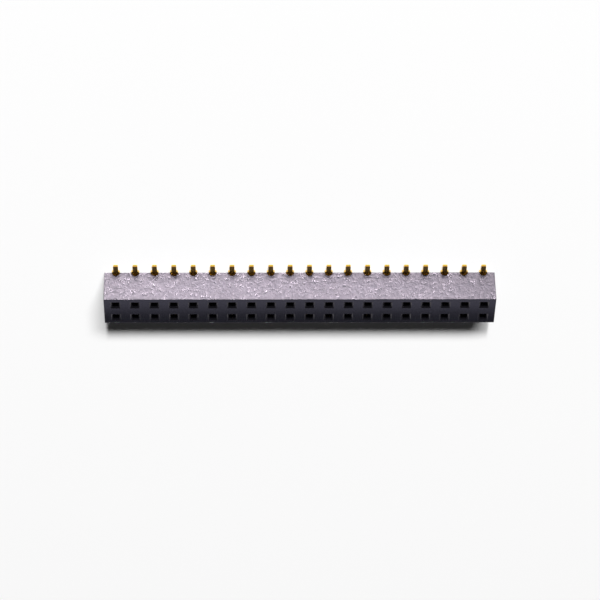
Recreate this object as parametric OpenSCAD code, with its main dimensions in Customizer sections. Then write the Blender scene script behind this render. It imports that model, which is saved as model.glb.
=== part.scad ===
// Two-row female pin header strip for surface mounting.
// One moulded housing holds a stamped and formed contact in every cavity.
// The board lies in the plane z = 0, the rows run along X and pins go in from +Z.

/* [Rows] */
// Contacts in each row
positions = 20; // [2:1:29]
// Distance between neighbouring contacts in a row
pitch = 2.54; // [2.25:0.01:3]
// Distance between the two rows
row_spacing = 2.54; // [2.25:0.01:2.8]

/* [Housing] */
// Width across the two long side walls
body_w = 5.0; // [4.7:0.05:5.6]
// Height of the moulding
body_h = 4.5; // [4:0.05:8]
// Length of the moulding past the outer half pitch, at each end
end_margin = 0.25; // [0.15:0.01:0.6]
// Air between the board and the rear edge of the moulding
stand_off = 0.1; // [0.05:0.01:0.2]
// Radius of the outer edges
edge_r = 0.12; // [0.05:0.01:0.2]

/* [Sockets] */
// Width of a square mouth at the mating face
mouth_w = 1.28; // [1.05:0.01:1.6]
// Width of the square neck below the funnel
neck_w = 0.86; // [0.75:0.01:1]
// Slope of the funnel walls, measured from the mating face
funnel_angle = 45; // [35:1:60]
// Thickness of the roof above the contact cavities
roof_t = 0.6; // [0.5:0.01:0.9]
// Width of a square contact cavity
cavity_w = 1.5; // [1.35:0.01:1.65]

/* [Tail exits] */
// Height of a tail exit in the side wall, above the board
exit_z = 0.66; // [0.58:0.01:0.9]
// Width of a tail exit at its flat top
exit_top_w = 0.4; // [0.2:0.01:0.6]

/* [Fits] */
// Gap between a contact and the walls that hold it
seat_gap = 0.02; // [0.01:0.005:0.05]
// Gap between a solder tail and the exit that it leaves through
tail_gap = 0.05; // [0.03:0.005:0.1]

/* [Contact strip] */
// Thickness of the plated strip
stock_t = 0.3; // [0.2:0.01:0.33]
// Inside radius of the bend from the back plate to the solder foot
bend_r = 0.15; // [0.1:0.01:0.25]
// Inside radius of the folds between the back plate and the fork sides
fold_r = 0.08; // [0.04:0.01:0.15]

/* [Solder tail] */
// Width of the solder foot
foot_w = 0.64; // [0.5:0.01:0.8]
// Reach of the solder foot past the side wall
foot_reach = 1.5; // [0.9:0.01:1.8]
// Corner chamfer at the end of the foot
foot_chamfer = 0.08; // [0.02:0.01:0.15]
// Width of the tail where it passes through the side wall
tail_neck_w = 0.84; // [0.7:0.01:0.95]
// Width of the shoulder outside the wall
shoulder_w = 1.05; // [0.98:0.01:1.2]
// Length of the flare from neck to shoulder
shoulder_flare = 0.1; // [0.05:0.01:0.15]
// Reach of the full shoulder past the side wall
shoulder_reach = 0.26; // [0.18:0.01:0.4]
// Length of the taper from shoulder to foot
shoulder_taper = 0.2; // [0.1:0.01:0.35]

/* [Retention barbs] */
// Width across the two barbs of the back plate
barb_w = 1.74; // [1.6:0.01:1.9]
// Height of the square edge of the barbs above the board
barb_z = 0.62; // [0.5:0.01:0.8]
// Length of the slope of a barb
barb_l = 0.5; // [0.3:0.01:0.6]

/* [Fork] */
// Width of the back plate between the barbs and the fork
plate_w = 1.05; // [0.9:0.01:1.2]
// Height of the folded channel at the root of the two beams
fork_l = 0.7; // [0.5:0.01:0.9]
// Depth of the fork sides, from the back of the plate
fork_depth = 1.06; // [0.95:0.01:1.15]
// Depth of a beam at its root
beam_root_w = 0.66; // [0.5:0.01:0.75]
// Depth of a beam at its tip
beam_tip_w = 0.4; // [0.3:0.01:0.5]
// Lean of each beam toward the pin
beam_lean = 8; // [7:0.5:12]
// Radius at the root of a beam, on the pin side
beam_root_r = 0.3; // [0.15:0.01:0.5]
// Gap between the beams where they grip the pin
pinch_gap = 0.54; // [0.45:0.01:0.6]
// Radius behind the gripping bend of a beam
pinch_r = 0.3; // [0.2:0.01:0.4]
// Outward lean of the lead-in tips
flare_angle = 28; // [20:1:35]
// Straight length of a lead-in tip
flare_l = 0.15; // [0.05:0.01:0.25]
// Gap between the beam tips and the roof of the cavity
tip_gap = 0.2; // [0.1:0.01:0.3]

/* [Hidden] */
$fn = 48;

// How far a cut runs past the face that it opens
over = 1;

body_l = positions * pitch + 2 * end_margin;
face_z = stand_off + body_h;
cavity_top = face_z - roof_t;
funnel_slope = tan(funnel_angle);
neck_z = face_z - (mouth_w - neck_w) / 2 * funnel_slope;

// Depths inside one cavity, from its centre toward the side wall
plate_out = cavity_w / 2 - seat_gap;
plate_in = plate_out - stock_t;
wall_out = (body_w - row_spacing) / 2;
foot_end = wall_out + foot_reach;
fork_open = plate_out - fork_depth;

bend_top = stock_t + bend_r;
exit_half = tail_neck_w / 2 + tail_gap;
exit_spring = stock_t + tail_gap;
barb_top = barb_z + barb_l;
fork_half = cavity_w / 2 - seat_gap;
beam_in = fork_half - stock_t;

// The straight run that brings the pin sides of the beams to pinch_gap
grip_arc = beam_root_r + pinch_r + stock_t;
beam_run = (beam_in - pinch_gap / 2 - grip_arc * (1 - cos(beam_lean))) / sin(beam_lean);
beam_rise = grip_arc * sin(beam_lean) + beam_run * cos(beam_lean)
  + (pinch_r + stock_t) * sin(flare_angle) + flare_l * cos(flare_angle);
fork_top = cavity_top - tip_gap - beam_rise;
fork_z = fork_top - fork_l;

function contact_name(row, k) = str("contact_", row, k < 10 ? "0" : "", k);
function column_x(k) = (k - (positions + 1) / 2) * pitch;

// Closes an outline given by the points of its right-hand side, from bottom to top.
function both_sides(half) = concat(half, [for (k = [len(half) - 1 : -1 : 0]) [-half[k].x, half[k].y]]);

// Stands a drawing up so that its sheet is X and Z, with its thickness centred on Y.
module across_y(depth) rotate([90, 0, 0]) linear_extrude(depth, center = true) children();

// Stands a drawing up so that its sheet is Y and Z, with its thickness centred on X.
module across_x(depth) rotate([90, 0, 90]) linear_extrude(depth, center = true) children();

// Repeats a drawing at each contact along a row.
module each_column() {
  for (k = [1 : positions]) {
    translate([column_x(k), 0]) children();
  }
}

// Repeats a drawing in both rows, turned so that it always faces its own side wall.
module each_row() {
  translate([row_spacing / 2, 0]) children();
  mirror([1, 0]) translate([row_spacing / 2, 0]) children();
}

// Rectangle centred on the drawing's first axis and standing on its second, with round corners.
module soft_rectangle(w, h, r) {
  translate([-w / 2 + r, 0]) square([w - 2 * r, h]);
  translate([-w / 2, r]) square([w, h - 2 * r]);
  for (x = [r - w / 2, w / 2 - r], y = [r, h - r]) {
    translate([x, y]) circle(r);
  }
}

// The bar before anything is cut: three crossing outlines leave every outer edge round.
module blank() {
  intersection() {
    translate([0, 0, stand_off]) across_x(body_l) soft_rectangle(body_w, body_h, edge_r);
    translate([0, 0, stand_off]) across_y(body_w) soft_rectangle(body_l, body_h, edge_r);
    translate([0, -body_w / 2]) linear_extrude(face_z) soft_rectangle(body_l, body_w, edge_r);
  }
}

// Side view of one socket through the roof: funnel above, straight neck below.
module socket_outline() {
  wide = mouth_w / 2 + over / funnel_slope;
  polygon(both_sides([
    [neck_w / 2, cavity_top - over], [neck_w / 2, neck_z], [wide, face_z + over]
  ]));
}

// Square funnels and necks, left where the lengthwise and the crosswise outlines cross.
module sockets() {
  intersection() {
    across_y(body_w) each_column() socket_outline();
    across_x(body_l) each_row() socket_outline();
  }
}

// Contact cavities, open at the rear.
module cavities() {
  linear_extrude(cavity_top) each_column() rotate(90) each_row() square(cavity_w, center = true);
}

// Slots beside each back plate, which the barbs bite into.
module barb_grooves() {
  groove_w = barb_w + 2 * seat_gap;
  groove_t = cavity_w / 2 - plate_in + seat_gap;
  linear_extrude(barb_top + seat_gap) each_column() rotate(90) each_row() {
    translate([plate_in - seat_gap, -groove_w / 2]) square([groove_t, groove_w]);
  }
}

// Front view of a tail exit: straight beside the neck of the tail, then narrower to a flat top.
module exit_outline() {
  polygon(both_sides([
    [exit_half, -over], [exit_half, exit_spring], [exit_top_w / 2, exit_z]
  ]));
}

// Exits through the rear edge of the side walls.
module tail_exits() {
  intersection() {
    across_x(body_l) each_row() {
      translate([plate_in, -over]) square([wall_out + over - plate_in, exit_z + 2 * over]);
    }
    across_y(body_w + over) each_column() exit_outline();
  }
}

// Chamfers on the inside of the exits, clear of the bend of the tail.
module bend_chamfers() {
  chamfer_top = bend_top + tail_gap;
  inner_wall = cavity_w / 2;
  chamfer_end = inner_wall + chamfer_top - exit_spring;
  intersection() {
    across_x(body_l) each_row() polygon([
      [plate_in, -over], [chamfer_end, -over], [chamfer_end, exit_spring],
      [inner_wall, chamfer_top], [plate_in, chamfer_top]
    ]);
    across_y(body_w) each_column() {
      translate([-exit_half, -over]) square([2 * exit_half, over + chamfer_top]);
    }
  }
}

module housing() {
  color([0.14, 0.14, 0.17])
  difference() {
    blank();
    sockets();
    cavities();
    barb_grooves();
    tail_exits();
    bend_chamfers();
  }
}

// Part of a ring, swept from the drawing's first axis by up to a quarter turn.
module ring_part(inside, outside, turn) {
  far = 2 * outside;
  intersection() {
    difference() {
      circle(outside);
      circle(inside);
    }
    polygon([[0, 0], [far, 0], [far * cos(turn), far * sin(turn)]]);
  }
}

// Side view of the tail: down the back plate, round the bend and out along the board.
module tail_outline() {
  foot_start = plate_out + bend_r;
  translate([foot_start, bend_top]) rotate(180) ring_part(bend_r, bend_r + stock_t, 90);
  translate([foot_start, 0]) square([foot_end - foot_start, stock_t]);
}

// Plan of the tail: neck in the wall, shoulder outside it, taper, narrow foot and cut corners.
module tail_plan() {
  taper_start = wall_out + shoulder_reach;
  polygon(both_sides([
    [tail_neck_w / 2, plate_in - over], [tail_neck_w / 2, wall_out],
    [shoulder_w / 2, wall_out + shoulder_flare], [shoulder_w / 2, taper_start],
    [foot_w / 2, taper_start + shoulder_taper], [foot_w / 2, foot_end - foot_chamfer],
    [foot_w / 2 - foot_chamfer, foot_end]
  ]));
}

module solder_tail() {
  intersection() {
    across_x(shoulder_w) tail_outline();
    linear_extrude(bend_top) tail_plan();
  }
}

// Front view of the back plate: neck below, one sloped barb on each side, plate above.
module plate_outline() {
  polygon(both_sides([
    [tail_neck_w / 2, bend_top], [tail_neck_w / 2, barb_z], [barb_w / 2, barb_z],
    [plate_w / 2, barb_top], [plate_w / 2, fork_z]
  ]));
}

module back_plate() translate([0, plate_in + stock_t / 2]) across_y(stock_t) plate_outline();

// Plan of a block whose two corners toward the side wall are round.
module fold_block(half, front, back, r) {
  translate([-half, front]) square([2 * half, back - r - front]);
  translate([r - half, front]) square([2 * (half - r), back - front]);
  for (x = [r - half, half - r]) {
    translate([x, back - r]) circle(r);
  }
}

// The folded channel that carries both beams.
module fork_base() {
  translate([0, 0, fork_z]) linear_extrude(fork_l) difference() {
    fold_block(fork_half, fork_open, plate_out, fold_r + stock_t);
    fold_block(fork_half - stock_t, fork_open - over, plate_in, fold_r);
  }
}

// Front view of one beam: lean in, long straight run, gripping bend and flared lead-in.
module beam_outline() {
  turn_out = beam_lean + flare_angle;
  translate([beam_in - beam_root_r, fork_top]) {
    ring_part(beam_root_r, beam_root_r + stock_t, beam_lean);
    rotate(beam_lean) translate([beam_root_r, 0]) {
      square([stock_t, beam_run]);
      translate([stock_t + pinch_r, beam_run]) {
        rotate(180 - turn_out) ring_part(pinch_r, pinch_r + stock_t, turn_out);
        rotate(-turn_out) translate([-pinch_r - stock_t, 0]) square([stock_t, flare_l]);
      }
    }
  }
}

// Side view of a beam: it narrows from root to tip.
module beam_side() {
  root_far = fork_open + beam_root_w;
  tip_z = fork_top + beam_rise;
  polygon([
    [fork_open, fork_top], [root_far, fork_top], [beam_tip_w / 2, tip_z], [-beam_tip_w / 2, tip_z]
  ]);
}

module beams() {
  intersection() {
    across_y(cavity_w) {
      beam_outline();
      mirror([1, 0]) beam_outline();
    }
    across_x(cavity_w) beam_side();
  }
}

// One contact in one piece, standing at the centre of its cavity with its foot toward +Y.
module contact() {
  color([0.86, 0.68, 0.22]) {
    solder_tail();
    back_plate();
    fork_base();
    beams();
  }
}

module contact_a(k) translate([column_x(k), -row_spacing / 2]) rotate(180) contact();

module contact_b(k) translate([column_x(k), row_spacing / 2]) contact();

housing();
for (k = [1 : positions]) {
  contact_a(k);
  contact_b(k);
}
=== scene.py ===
import math

import bmesh
import bpy
from mathutils import Matrix, Vector


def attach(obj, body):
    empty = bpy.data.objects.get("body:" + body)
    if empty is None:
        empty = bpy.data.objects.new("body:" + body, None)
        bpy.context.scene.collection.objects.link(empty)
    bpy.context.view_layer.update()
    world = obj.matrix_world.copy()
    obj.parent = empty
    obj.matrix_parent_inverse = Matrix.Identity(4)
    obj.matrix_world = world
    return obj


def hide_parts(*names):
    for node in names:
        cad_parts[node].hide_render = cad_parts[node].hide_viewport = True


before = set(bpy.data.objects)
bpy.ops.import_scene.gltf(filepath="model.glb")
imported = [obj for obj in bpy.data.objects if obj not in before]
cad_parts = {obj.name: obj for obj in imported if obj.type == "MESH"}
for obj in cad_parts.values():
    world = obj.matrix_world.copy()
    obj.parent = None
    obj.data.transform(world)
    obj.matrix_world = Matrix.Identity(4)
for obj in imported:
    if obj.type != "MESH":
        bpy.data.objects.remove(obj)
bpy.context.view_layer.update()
print("frame loaded:", len(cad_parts), "nodes")

mm = 0.001  # meshes are made in millimetres and scaled to metres at the end
scene = bpy.context.scene


def linkedObject(name, data):
    obj = bpy.data.objects.new(name, data)
    scene.collection.objects.link(obj)
    return obj


# Ends work on a bmesh and returns its mesh.
def meshFrom(bm, name):
    mesh = bpy.data.meshes.new(name)
    bm.to_mesh(mesh)
    bm.free()
    return mesh


# Turns an object with live modifiers into a plain mesh piece, in metres.
def bakePiece(source, name):
    bpy.context.view_layer.update()
    graph = bpy.context.evaluated_depsgraph_get()
    mesh = bpy.data.meshes.new_from_object(source.evaluated_get(graph))
    mesh.name = name
    mesh.transform(Matrix.Scale(mm, 4))
    bpy.data.objects.remove(source)
    return linkedObject(name, mesh)


# Unit vector toward an azimuth and an elevation in degrees: azimuth 0 is -Y, and 90 is +X.
def directionTo(azimuth, elevation):
    turn, tilt = math.radians(azimuth), math.radians(elevation)
    return Vector((
        math.sin(turn) * math.cos(tilt), -math.cos(turn) * math.cos(tilt), math.sin(tilt)
    ))


# Adds a node to a tree and sets what is given by name.
def addNode(tree, kind, place, **settings):
    node = tree.nodes.new(kind)
    node.location = place
    for key, value in settings.items():
        setattr(node, key, value)
    return node


# Gives a socket a fixed value, or links it to another node's output.
def feed(tree, socket, value):
    if isinstance(value, bpy.types.NodeSocket):
        tree.links.new(value, socket)
    else:
        socket.default_value = value


# A Math node whose operands are numbers or sockets.
def addMath(tree, operation, place, *operands):
    node = addNode(tree, "ShaderNodeMath", place, operation=operation)
    for socket, operand in zip(node.inputs, operands):
        feed(tree, socket, operand)
    return node.outputs[0]


# Starts a Geometry Nodes tree whose inputs are given as (label, socket type).
def startTree(name, inputs):
    tree = bpy.data.node_groups.new(name, "GeometryNodeTree")
    tree.interface.new_socket(name="Geometry", in_out="INPUT", socket_type="NodeSocketGeometry")
    for label, kind in inputs:
        tree.interface.new_socket(name=label, in_out="INPUT", socket_type=kind)
    tree.interface.new_socket(name="Geometry", in_out="OUTPUT", socket_type="NodeSocketGeometry")
    return tree


# Ends a tree with real geometry in place of instances, and one material.
def endTree(tree, inputNode, geometry, place):
    whole = addNode(tree, "GeometryNodeRealizeInstances", place)
    finish = addNode(tree, "GeometryNodeSetMaterial", (place[0] + 200, place[1]))
    outputNode = addNode(tree, "NodeGroupOutput", (place[0] + 400, place[1]))
    join = tree.links.new
    join(geometry, whole.inputs[0])
    join(whole.outputs[0], finish.inputs["Geometry"])
    join(inputNode.outputs["Material"], finish.inputs["Material"])
    join(finish.outputs[0], outputNode.inputs[0])


# Sets modifier inputs by their sockets' identifiers.
def setInputs(modifier, values):
    for item in modifier.node_group.interface.items_tree:
        if item.item_type == "SOCKET" and item.in_out == "INPUT" and item.name in values:
            modifier[item.identifier] = values[item.name]


grid = {"positions": 20, "pitch": 2.54, "rowSpacing": 2.54}

# Inputs that the trees of both pieces share.
gridInputs = [
    ("Positions", "NodeSocketInt"),
    ("Pitch", "NodeSocketFloat"),
    ("Row spacing", "NodeSocketFloat"),
    ("Material", "NodeSocketMaterial"),
]


def gridValues(material):
    return {
        "Positions": grid["positions"],
        "Pitch": grid["pitch"],
        "Row spacing": grid["rowSpacing"],
        "Material": material,
    }


# An instance at each position of both rows: one line, and its half turn for the opposite row.
def twoRows(tree, inputNode, instance):
    positions, pitch = inputNode.outputs["Positions"], inputNode.outputs["Pitch"]
    steps = addMath(tree, "SUBTRACT", (-1180, 120), positions, 1)
    rowLength = addMath(tree, "MULTIPLY", (-1000, 120), steps, pitch)
    firstX = addMath(tree, "MULTIPLY", (-820, 120), rowLength, -0.5)
    rowY = addMath(tree, "MULTIPLY", (-820, 300), inputNode.outputs["Row spacing"], 0.5)
    start = addNode(tree, "ShaderNodeCombineXYZ", (-700, 300))
    step = addNode(tree, "ShaderNodeCombineXYZ", (-700, -60))
    line = addNode(tree, "GeometryNodeMeshLine", (-560, 200), mode="OFFSET", count_mode="TOTAL")
    place = addNode(tree, "GeometryNodeInstanceOnPoints", (-380, 200))
    turn = addNode(tree, "GeometryNodeTransform", (-180, 60))
    turn.inputs["Rotation"].default_value = (0, 0, math.pi)
    both = addNode(tree, "GeometryNodeJoinGeometry", (20, 200))
    join = tree.links.new
    join(firstX, start.inputs["X"])
    join(rowY, start.inputs["Y"])
    join(pitch, step.inputs["X"])
    join(positions, line.inputs["Count"])
    join(start.outputs[0], line.inputs["Start Location"])
    join(step.outputs[0], line.inputs["Offset"])
    join(line.outputs["Mesh"], place.inputs["Points"])
    join(instance, place.inputs["Instance"])
    join(place.outputs[0], turn.inputs["Geometry"])
    join(place.outputs[0], both.inputs[0])
    join(turn.outputs[0], both.inputs[0])
    return both.outputs[0]


# Smooth faces, with the edges above an angle in degrees kept sharp.
def sharpen(tree, geometry, place, angle):
    smooth = addNode(tree, "GeometryNodeSetShadeSmooth", place)
    edgeAngle = addNode(tree, "GeometryNodeInputMeshEdgeAngle", (place[0], place[1] - 300))
    sharp = addNode(
        tree, "FunctionNodeCompare", (place[0] + 180, place[1] - 300), operation="GREATER_THAN"
    )
    sharp.inputs["B"].default_value = math.radians(angle)
    edges = addNode(
        tree, "GeometryNodeSetShadeSmooth", (place[0] + 380, place[1]), domain="EDGE"
    )
    edges.inputs["Shade Smooth"].default_value = False
    join = tree.links.new
    join(geometry, smooth.inputs["Geometry"])
    join(smooth.outputs[0], edges.inputs["Geometry"])
    join(edgeAngle.outputs["Unsigned Angle"], sharp.inputs["A"])
    join(sharp.outputs[0], edges.inputs["Selection"])
    return edges.outputs[0]


# Normals that keep broad faces flat beside small roundings.
def weightNormals(source):
    modifier = source.modifiers.new("flat faces", "WEIGHTED_NORMAL")
    modifier.keep_sharp = True


# A shader tree with its Principled BSDF and the Object coordinates.
def startMaterial(name):
    material = bpy.data.materials.new(name)
    material.use_nodes = True
    tree = material.node_tree
    shader = tree.nodes["Principled BSDF"]
    coords = addNode(tree, "ShaderNodeTexCoord", (-1600, 0))
    return material, tree, shader, coords.outputs["Object"]


# Noise whose grain is given in millimetres along each axis.
def addNoise(tree, coords, place, grain, detail=2.0, roughness=0.5):
    scaled = addNode(tree, "ShaderNodeMapping", place)
    scaled.inputs["Scale"].default_value = [1 / (size * mm) for size in grain]
    noise = addNode(tree, "ShaderNodeTexNoise", (place[0] + 180, place[1]))
    noise.inputs["Scale"].default_value = 1.0
    noise.inputs["Detail"].default_value = detail
    noise.inputs["Roughness"].default_value = roughness
    tree.links.new(coords, scaled.inputs["Vector"])
    tree.links.new(scaled.outputs[0], noise.inputs["Vector"])
    return noise.outputs["Fac"]


# Maps a factor from one span to another.
def addRange(tree, factor, place, span, result):
    node = addNode(tree, "ShaderNodeMapRange", place)
    for socket, value in zip(("From Min", "From Max", "To Min", "To Max"), (*span, *result)):
        node.inputs[socket].default_value = value
    tree.links.new(factor, node.inputs["Value"])
    return node.outputs["Result"]


# Mixes two colours, each a tuple or a socket.
def addMix(tree, factor, place, first, second):
    node = addNode(tree, "ShaderNodeMix", place, data_type="RGBA")
    tree.links.new(factor, node.inputs["Factor"])
    colourSockets = [socket for socket in node.inputs if socket.type == "RGBA"]
    for socket, colour in zip(colourSockets, (first, second)):
        feed(tree, socket, (*colour, 1) if isinstance(colour, tuple) else colour)
    return next(socket for socket in node.outputs if socket.type == "RGBA")


# Mixes two values, each a number or a socket.
def addBlend(tree, factor, place, first, second):
    node = addNode(tree, "ShaderNodeMix", place, data_type="FLOAT")
    tree.links.new(factor, node.inputs[0])
    feed(tree, node.inputs[2], first)
    feed(tree, node.inputs[3], second)
    return node.outputs[0]


# Bump from a height, with its depth in millimetres.
def addBump(tree, height, place, depth, strength=1.0):
    node = addNode(tree, "ShaderNodeBump", place)
    node.inputs["Distance"].default_value = depth * mm
    feed(tree, node.inputs["Strength"], strength)
    tree.links.new(height, node.inputs["Height"])
    return node.outputs[0]


plastic = {
    "dark": (0.013, 0.014, 0.023),
    "light": (0.021, 0.022, 0.033),
    "fibre": (0.050, 0.047, 0.062),
    "socket": (0.012, 0.012, 0.018),  # painted shade: a darker colour inside the sockets and all else below the mating face within the outer walls
    "specular": 1.0,
    "sheen": (1.0, 0.9, 0.99),  # tint of the gloss
    "cloudSize": (9, 3, 3),  # of dark and light along X, Y and Z, in millimetres
    "cloudSpan": (0.35, 0.65),
    "fibreSize": (0.5, 0.07, 0.07),
    "fibreSpan": (0.62, 0.74),
    "fibreShow": 0.55,
    "grain": 0.45,  # size of the moulded grain, in millimetres
    "grainSpan": (0.3, 0.7),
    "grainDepth": 0.09,
    "glossy": 0.24,
    "matt": 0.52,
    "polished": 0.26,  # roughness of the mating face and of the sockets
    "faceFrom": 4.585,  # height at which the mating face begins
    "faceTo": 4.595,
    "wallSkin": 0.2,  # depth of the grained skin on the outer walls
}


def housingPlastic():
    material, tree, shader, coords = startMaterial("housingPlastic")
    grain = addNoise(tree, coords, (-1300, 300), [plastic["grain"]] * 3, detail=3, roughness=0.6)
    clouds = addNoise(tree, coords, (-1300, 0), plastic["cloudSize"], detail=2)
    fibres = addNoise(tree, coords, (-1300, -300), plastic["fibreSize"], detail=1)
    blotch = addRange(tree, clouds, (-900, 0), plastic["cloudSpan"], (0, 1))
    speck = addRange(
        tree, fibres, (-900, -300), plastic["fibreSpan"], (0, plastic["fibreShow"])
    )
    body = addMix(tree, blotch, (-650, 0), plastic["dark"], plastic["light"])
    skin = addMix(tree, speck, (-450, 0), body, plastic["fibre"])
    # the mating face, and what lies below it and within the outer walls
    split = addNode(tree, "ShaderNodeSeparateXYZ", (-1500, -600))
    tree.links.new(coords, split.inputs[0])
    face = (plastic["faceFrom"] * mm, plastic["faceTo"] * mm)
    onFace = addRange(tree, split.outputs["Z"], (-900, -600), face, (0, 1))
    inside = addRange(tree, split.outputs["Z"], (-900, -1000), face, (1, 0))
    for axis, size in (("X", housingSizes["length"]), ("Y", housingSizes["width"])):
        wall = (size / 2 - plastic["wallSkin"], size / 2 - plastic["wallSkin"] / 2)
        distance = addMath(tree, "ABSOLUTE", (-1300, -800), split.outputs[axis])
        within = addRange(tree, distance, (-1100, -800), [edge * mm for edge in wall], (1, 0))
        inside = addMath(tree, "MULTIPLY", (-900, -800), within, inside)
    polished = addMath(tree, "ADD", (-700, -600), onFace, inside)
    grained = addMath(tree, "SUBTRACT", (-700, -800), 1, polished)
    # painted shade: the sockets and all else below the mating face within the outer walls take
    # the darker socket colour
    colour = addMix(tree, inside, (-250, 0), skin, plastic["socket"])
    sheen = (plastic["glossy"], plastic["matt"])
    grainGloss = addRange(tree, grain, (-900, 300), plastic["grainSpan"], sheen)
    gloss = addBlend(tree, polished, (-450, 300), grainGloss, plastic["polished"])
    bump = addBump(tree, grain, (-450, -300), plastic["grainDepth"], grained)
    tree.links.new(colour, shader.inputs["Base Color"])
    tree.links.new(gloss, shader.inputs["Roughness"])
    tree.links.new(bump, shader.inputs["Normal"])
    shader.inputs["Specular IOR Level"].default_value = plastic["specular"]
    shader.inputs["Specular Tint"].default_value = (*plastic["sheen"], 1)
    return material


gold = {
    "plate": (0.93, 0.63, 0.17),
    "worn": (0.80, 0.50, 0.13),
    "wearSize": (0.6, 0.6, 0.6),  # of worn places, in millimetres
    "wearSpan": (0.4, 0.75),
    "burnished": (0.66, 0.56, 0.04),  # lower band of a sheared foot end
    "torn": (0.74, 0.38, 0.10),  # upper band, where the strip broke away
    "band": (0.12, 0.18),  # heights between which the one band turns into the other
    "shear": (3.98, 3.995),  # where the sheared foot ends begin, from the middle plane
    "drawnSize": (0.03, 0.5, 0.5),  # of the fine lines along the strip
    "drawnSpan": (0.3, 0.7),
    "drawnDepth": 0.001,
    "smooth": 0.2,
    "dull": 0.34,
    "shearRough": 0.5,
}


def contactGold():
    material, tree, shader, coords = startMaterial("contactGold")
    cloud = addNoise(tree, coords, (-1300, 300), gold["wearSize"], detail=3)
    drawn = addNoise(tree, coords, (-1300, 0), gold["drawnSize"], detail=2)
    wear = addRange(tree, cloud, (-900, 300), gold["wearSpan"], (0, 1))
    plate = addMix(tree, wear, (-650, 300), gold["plate"], gold["worn"])
    split = addNode(tree, "ShaderNodeSeparateXYZ", (-1300, -300))
    tree.links.new(coords, split.inputs[0])
    out = addMath(tree, "ABSOLUTE", (-1100, -300), split.outputs["Y"])
    ends = [distance * mm for distance in gold["shear"]]
    sheared = addRange(tree, out, (-900, -300), ends, (0, 1))
    heights = [height * mm for height in gold["band"]]
    upper = addRange(tree, split.outputs["Z"], (-900, -550), heights, (0, 1))
    shearColour = addMix(tree, upper, (-650, -450), gold["burnished"], gold["torn"])
    colour = addMix(tree, sheared, (-400, 200), plate, shearColour)
    polish = addRange(
        tree, drawn, (-900, 0), gold["drawnSpan"], (gold["smooth"], gold["dull"])
    )
    rough = addBlend(tree, sheared, (-400, 0), polish, gold["shearRough"])
    bump = addBump(tree, drawn, (-400, -300), gold["drawnDepth"])
    tree.links.new(colour, shader.inputs["Base Color"])
    tree.links.new(rough, shader.inputs["Roughness"])
    tree.links.new(bump, shader.inputs["Normal"])
    shader.inputs["Metallic"].default_value = 1.0
    return material


housingSizes = {
    "length": 51.3,
    "width": 5.0,
    "height": 4.5,
    "standOff": 0.1,  # air between the board and the rear of the moulding
    "edgeRadius": 0.05,
    "edgeSegments": 4,
    "sharpAngle": 30,
    "mouth": 1.28,  # square mouth in the mating face, with a funnel at 45 degrees
    "neck": 0.86,
    "neckRun": 0.3,  # how far the neck's cutter runs into the cavity
    "lipRadius": 0.05,
    "lipMiddle": 0.15,  # two points of the rounded lip, in tangent lengths outside the mouth
    "lipEnd": 1.25,
    "lipLift": 0.004,  # takes the last of them clear of the face
    "flare": 0.3,  # how much wider the cutter is above the face
    "cornerRadius": 0.05,  # inside corners of the sockets
    "cornerSegments": 3,
    "roof": 0.6,
    "cavity": 1.5,
    "grooveWidth": 1.78,  # slots that hold the barbs
    "grooveTop": 1.14,
    "plateIn": 0.43,  # inner face of the back plate, from the socket's centre
    "seatGap": 0.02,
    "exitWidth": 0.94,  # way out for the solder tail, straight up to exitSpring
    "exitSpring": 0.35,
    "exitTopWidth": 0.4,
    "exitTop": 0.66,
    "chamferTop": 0.5,  # clears the bend of the tail
    "over": 1.0,  # how far a cutter runs past the face that it opens
}


# Corners of a square with rounded corners, anticlockwise.
def roundedSquare(half, radius, segments):
    points = []
    for quarter, (signX, signY) in enumerate([(1, 1), (-1, 1), (-1, -1), (1, -1)]):
        centreX, centreY = signX * (half - radius), signY * (half - radius)
        for k in range(segments + 1):
            angle = math.radians(90 * (quarter + k / segments))
            points.append(
                (centreX + radius * math.cos(angle), centreY + radius * math.sin(angle))
            )
    return points


# Closed solid through rings that have the same number of points, from bottom to top.
def addLoft(bm, rings):
    loops = [[bm.verts.new(point) for point in ring] for ring in rings]
    size = len(loops[0])
    for lower, upper in zip(loops, loops[1:]):
        for k in range(size):
            after = (k + 1) % size
            bm.faces.new((lower[k], lower[after], upper[after], upper[k]))
    bm.faces.new(list(reversed(loops[0])))
    bm.faces.new(loops[-1])


# Loft through rounded squares, each given as (height, half its width).
def addSquareLoft(bm, sizes, levels):
    radius, segments = sizes["cornerRadius"], sizes["cornerSegments"]
    addLoft(bm, [
        [(x, y, z) for x, y in roundedSquare(half, radius, segments)] for z, half in levels
    ])


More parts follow.
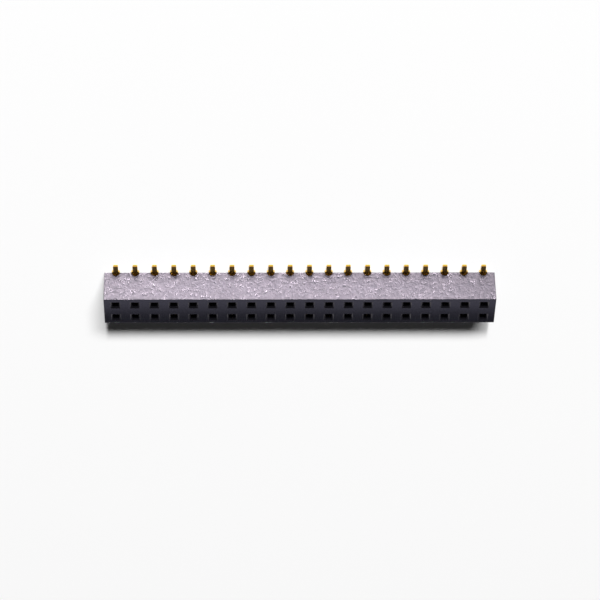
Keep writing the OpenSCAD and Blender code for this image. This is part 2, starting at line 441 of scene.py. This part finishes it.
# What one position takes out of the bar: socket, cavity, barb slots and tail exit.
def cutterMesh(sizes):
    bm = bmesh.new()
    bottom = -sizes["over"]
    face = sizes["standOff"] + sizes["height"]
    cavityTop = face - sizes["roof"]
    wall = sizes["cavity"] / 2
    mouth = sizes["mouth"] / 2
    neck = sizes["neck"] / 2
    # the lip is round between the funnel and the face
    slope = math.radians(45)
    tangent = sizes["lipRadius"] * math.tan(slope / 2)
    slopeEnd = tangent * math.cos(slope)
    sag = sizes["lipRadius"] * (1 - math.cos(slope / 2))
    addSquareLoft(bm, sizes, [
        (cavityTop - sizes["neckRun"], neck),
        (face - (mouth - neck), neck),
        (face - slopeEnd, mouth - slopeEnd),
        (face - sag, mouth + tangent * sizes["lipMiddle"]),
        (face + sizes["lipLift"], mouth + tangent * sizes["lipEnd"]),
        (face + sizes["over"], mouth + sizes["flare"]),
    ])
    addSquareLoft(bm, sizes, [(bottom, wall), (cavityTop, wall)])
    back = sizes["plateIn"] - sizes["seatGap"]
    side = sizes["grooveWidth"] / 2
    addLoft(bm, [
        [(-side, back, z), (side, back, z), (side, wall, z), (-side, wall, z)]
        for z in (bottom, sizes["grooveTop"])
    ])
    half = sizes["exitWidth"] / 2
    topHalf = sizes["exitTopWidth"] / 2
    spring, top = sizes["exitSpring"], sizes["exitTop"]
    opening = [
        (-half, bottom), (half, bottom), (half, spring),
        (topHalf, top), (-topHalf, top), (-half, spring),
    ]
    addLoft(bm, [[(x, y, z) for x, z in opening] for y in (sizes["width"] / 2, back)])
    chamferTop = sizes["chamferTop"]
    chamferEnd = wall + chamferTop - spring
    profile = [
        (back, bottom), (chamferEnd, bottom), (chamferEnd, spring),
        (wall, chamferTop), (back, chamferTop),
    ]
    addLoft(bm, [[(x, y, z) for y, z in profile] for x in (-half, half)])
    return meshFrom(bm, "cutter")


# The bar with its outer edges rounded, before anything is cut.
def barMesh(sizes):
    bm = bmesh.new()
    bmesh.ops.create_cube(bm, size=1)
    bmesh.ops.scale(bm, vec=(sizes["length"], sizes["width"], sizes["height"]), verts=bm.verts)
    bmesh.ops.bevel(
        bm, geom=bm.edges[:], offset=sizes["edgeRadius"], offset_type="OFFSET",
        segments=sizes["edgeSegments"], profile=0.5, affect="EDGES",
    )
    middle = sizes["standOff"] + sizes["height"] / 2
    bmesh.ops.translate(bm, vec=(0, 0, middle), verts=bm.verts)
    return meshFrom(bm, "bar")


def housingTree():
    tree = startTree("housingPerforations", [("Cutter", "NodeSocketObject"), *gridInputs])
    inputNode = addNode(tree, "NodeGroupInput", (-1400, 0))
    cutter = addNode(tree, "GeometryNodeObjectInfo", (-1000, -300))
    cutter.inputs["As Instance"].default_value = True
    cutters = twoRows(tree, inputNode, cutter.outputs["Geometry"])
    solid = addNode(tree, "GeometryNodeRealizeInstances", (220, 200))
    cut = addNode(
        tree, "GeometryNodeMeshBoolean", (420, 0), operation="DIFFERENCE", solver="EXACT"
    )
    cut.inputs["Self Intersection"].default_value = True
    join = tree.links.new
    join(inputNode.outputs["Cutter"], cutter.inputs["Object"])
    join(cutters, solid.inputs[0])
    join(inputNode.outputs["Geometry"], cut.inputs["Mesh 1"])
    join(solid.outputs[0], cut.inputs["Mesh 2"])
    shaded = sharpen(tree, cut.outputs["Mesh"], (620, 0), housingSizes["sharpAngle"])
    endTree(tree, inputNode, shaded, (1200, 0))
    return tree


def buildHousing():
    bar = linkedObject("bar", barMesh(housingSizes))
    cutter = linkedObject("cutter", cutterMesh(housingSizes))
    modifier = bar.modifiers.new("perforations", "NODES")
    modifier.node_group = housingTree()
    setInputs(modifier, {"Cutter": cutter, **gridValues(housingPlastic())})
    weightNormals(bar)
    piece = bakePiece(bar, "housing_moulding")
    bpy.data.objects.remove(cutter)
    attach(piece, "root")
    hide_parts("housing")
    return piece


contactSizes = {
    "edge": 0.016,  # rounding of the stamped strip's edges
    "edgeSegments": 2,
    "edgeAngle": 35,  # edges above this angle are rounded
    "sharpAngle": 40,
    "weld": 0.0005,  # points nearer than this are merged
    "flatAngle": 1,  # edges below this angle are dissolved
}


# One contact in millimetres, standing at its socket's centre with its foot toward +Y.
def contactMesh():
    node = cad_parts["contact_b01"]
    bm = bmesh.new()
    bm.from_mesh(node.data)
    bmesh.ops.scale(bm, vec=(1 / mm,) * 3, verts=bm.verts)
    firstX = -(grid["positions"] - 1) / 2 * grid["pitch"]
    bmesh.ops.translate(bm, vec=(-firstX, -grid["rowSpacing"] / 2, 0), verts=bm.verts)
    bmesh.ops.remove_doubles(bm, verts=bm.verts, dist=contactSizes["weld"])
    flat = math.radians(contactSizes["flatAngle"])
    bmesh.ops.dissolve_limit(bm, angle_limit=flat, verts=bm.verts, edges=bm.edges)
    return meshFrom(bm, "contact")


def contactTree():
    tree = startTree("contactRows", gridInputs)
    inputNode = addNode(tree, "NodeGroupInput", (-1400, 0))
    strip = inputNode.outputs["Geometry"]
    shaded = sharpen(tree, strip, (-1000, -500), contactSizes["sharpAngle"])
    single = addNode(tree, "GeometryNodeGeometryToInstance", (-420, -300))
    tree.links.new(shaded, single.inputs[0])
    rows = twoRows(tree, inputNode, single.outputs[0])
    endTree(tree, inputNode, rows, (220, 0))
    return tree


def buildContacts():
    contact = linkedObject("contact", contactMesh())
    rounding = contact.modifiers.new("edges", "BEVEL")
    rounding.width = contactSizes["edge"]
    rounding.segments = contactSizes["edgeSegments"]
    rounding.limit_method = "ANGLE"
    rounding.angle_limit = math.radians(contactSizes["edgeAngle"])
    modifier = contact.modifiers.new("rows", "NODES")
    modifier.node_group = contactTree()
    setInputs(modifier, gridValues(contactGold()))
    weightNormals(contact)
    piece = bakePiece(contact, "contacts")
    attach(piece, "root")
    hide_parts(*[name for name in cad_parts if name.startswith("contact_")])
    return piece


housing = buildHousing()
print("housing:", len(housing.data.polygons), "faces")
contacts = buildContacts()
print("contacts:", len(contacts.data.polygons), "faces")


# The camera stands where the photograph's does: half a turn of roll puts the mating face below.
view = {
    "lens": 170,
    "sensor": 36,
    "azimuth": 1.49,
    "elevation": 37.64,
    "roll": 179.015,
    "distance": 373.0,  # from the target, in millimetres
    "right": 0.044,  # shift of the camera across its view
    "up": -0.355,
    "target": (0, 0, 2.3),
    "near": 0.01,  # clipping distances, in metres
    "far": 20,
}


def placeCamera():
    back = directionTo(view["azimuth"], view["elevation"])
    right = directionTo(view["azimuth"] + 90, 0)
    up = back.cross(right)
    roll = math.radians(view["roll"])
    right, up = (
        math.cos(roll) * right + math.sin(roll) * up,
        math.cos(roll) * up - math.sin(roll) * right,
    )
    place = Vector(view["target"]) + view["right"] * right + view["up"] * up
    place += view["distance"] * back
    data = bpy.data.cameras.new("camera")
    data.lens = view["lens"]
    data.sensor_width = view["sensor"]
    data.clip_start = view["near"]
    data.clip_end = view["far"]
    camera = linkedObject("camera", data)
    turned = Matrix((right, up, back)).transposed().to_4x4()
    camera.matrix_world = Matrix.Translation(place * mm) @ turned
    scene.camera = camera


placeCamera()
print("camera placed")

studio = {
    "floorHalf": 0.4,  # in metres, as is the next
    "floorDrop": 0.00001,
    "floorColour": (0.9, 0.9, 0.9),
    "ambient": 0.022,  # world light on the object and the floor
    "horizon": 1.0,  # world brightness that the camera, metal and glass see near the horizon
    "ceiling": 0.03,  # and overhead
    "fade": (0.1, 0.35),  # heights on the world sphere between which the one fades to the other
}


def buildFloor():
    half = studio["floorHalf"]
    low = -studio["floorDrop"]
    mesh = bpy.data.meshes.new("floor")
    corners = [(-half, -half, low), (half, -half, low), (half, half, low), (-half, half, low)]
    mesh.from_pydata(corners, [], [(0, 1, 2, 3)])
    floor = linkedObject("floor", mesh)
    material = bpy.data.materials.new("floorPaper")
    material.use_nodes = True
    shader = material.node_tree.nodes["Principled BSDF"]
    shader.inputs["Base Color"].default_value = (*studio["floorColour"], 1)
    shader.inputs["Roughness"].default_value = 1.0
    shader.inputs["Specular IOR Level"].default_value = 0.0
    mesh.materials.append(material)
    floor.visible_shadow = False  # the low lamps shine through it
    return floor


def buildWorld():
    world = bpy.data.worlds.new("studio")
    world.use_nodes = True
    scene.world = world
    tree = world.node_tree
    background = tree.nodes["Background"]
    coords = addNode(tree, "ShaderNodeTexCoord", (-1200, 0))
    split = addNode(tree, "ShaderNodeSeparateXYZ", (-1000, 0))
    tree.links.new(coords.outputs["Generated"], split.inputs[0])
    brightness = (studio["horizon"], studio["ceiling"])
    backdrop = addRange(tree, split.outputs["Z"], (-800, 0), studio["fade"], brightness)
    rays = addNode(tree, "ShaderNodeLightPath", (-800, -300)).outputs
    direct = addMath(
        tree, "MAXIMUM", (-600, -200), rays["Is Camera Ray"], rays["Is Glossy Ray"]
    )
    seen = addMath(tree, "MAXIMUM", (-400, -200), direct, rays["Is Transmission Ray"])
    strength = addBlend(tree, seen, (-200, 0), studio["ambient"], backdrop)
    background.inputs["Color"].default_value = (1, 1, 1, 1)
    tree.links.new(strength, background.inputs["Strength"])


# Each lamp: where it stands round the middle of the strip in degrees and millimetres, its size
# in millimetres, its power, its colour and what it lights.
lamps = {
    "wallSoftbox": {
        "azimuth": 4.0, "elevation": -25, "distance": 34, "size": (68, 13), "power": 0.0325,
        "colour": (1, 0.95, 1), "lights": "housing",
    },
    "faceStrip": {
        "azimuth": 180, "elevation": 57, "distance": 10.65, "size": (70, 3), "power": 0.0004,
        "colour": (0.76, 0.79, 1), "lights": "housing",
    },
    "overhead": {
        "azimuth": 180, "elevation": 78, "distance": 400, "size": (240, 240), "power": 0.06,
        "colour": (0.92, 0.94, 1), "lights": "object",
    },
    "leftFill": {
        "azimuth": -75, "elevation": 25, "distance": 400, "size": (200, 260), "power": 0.5,
        "colour": (1, 1, 1), "lights": "object",
    },
    "rightFill": {
        "azimuth": 75, "elevation": 25, "distance": 400, "size": (200, 260), "power": 0.4,
        "colour": (1, 1, 1), "lights": "object",
    },
    "rearFill": {
        "azimuth": 180, "elevation": -20, "distance": 400, "size": (300, 160), "power": 0.6,
        "colour": (1, 1, 1), "lights": "object",
    },
    "contactFill": {
        "azimuth": 0, "elevation": -30, "distance": 400, "size": (420, 300), "power": 0.12,
        "colour": (1, 0.97, 0.9), "lights": "contacts",
    },
    "floorKey": {
        "azimuth": -0.8, "elevation": 27.6, "distance": 6000, "size": (260, 740), "power": 360,
        "colour": (1, 1, 1), "lights": "floor",
    },
    "floorSide": {
        "azimuth": -8, "elevation": 27.6, "distance": 6000, "size": (2200, 900), "power": 460,
        "colour": (1, 1, 1), "lights": "floor",
    },
}


def buildLamps(floor):
    lit = {
        "floor": [floor],
        "object": [housing, contacts],
        "housing": [housing],
        "contacts": [contacts],
    }
    groups = {}
    for name, members in lit.items():
        groups[name] = bpy.data.collections.new(name + "Lit")
        for member in members:
            groups[name].objects.link(member)
    for name, lamp in lamps.items():
        away = directionTo(lamp["azimuth"], lamp["elevation"])
        data = bpy.data.lights.new(name, "AREA")
        data.shape = "ELLIPSE" if lamp["lights"] == "floor" else "RECTANGLE"
        data.size, data.size_y = (side * mm for side in lamp["size"])
        data.energy = lamp["power"]
        data.color = lamp["colour"]
        # the floor hides the low lamps from reflected rays, so these are sampled as lamps only
        data.cycles.use_multiple_importance_sampling = lamp["elevation"] > 0
        obj = linkedObject(name, data)
        obj.location = (Vector(view["target"]) + away * lamp["distance"]) * mm
        obj.rotation_euler = away.to_track_quat("Z", "Y").to_euler()
        obj.light_linking.receiver_collection = groups[lamp["lights"]]
        obj.visible_camera = False


floor = buildFloor()
buildWorld()
buildLamps(floor)
scene.view_settings.view_transform = "Standard"
print("studio ready")
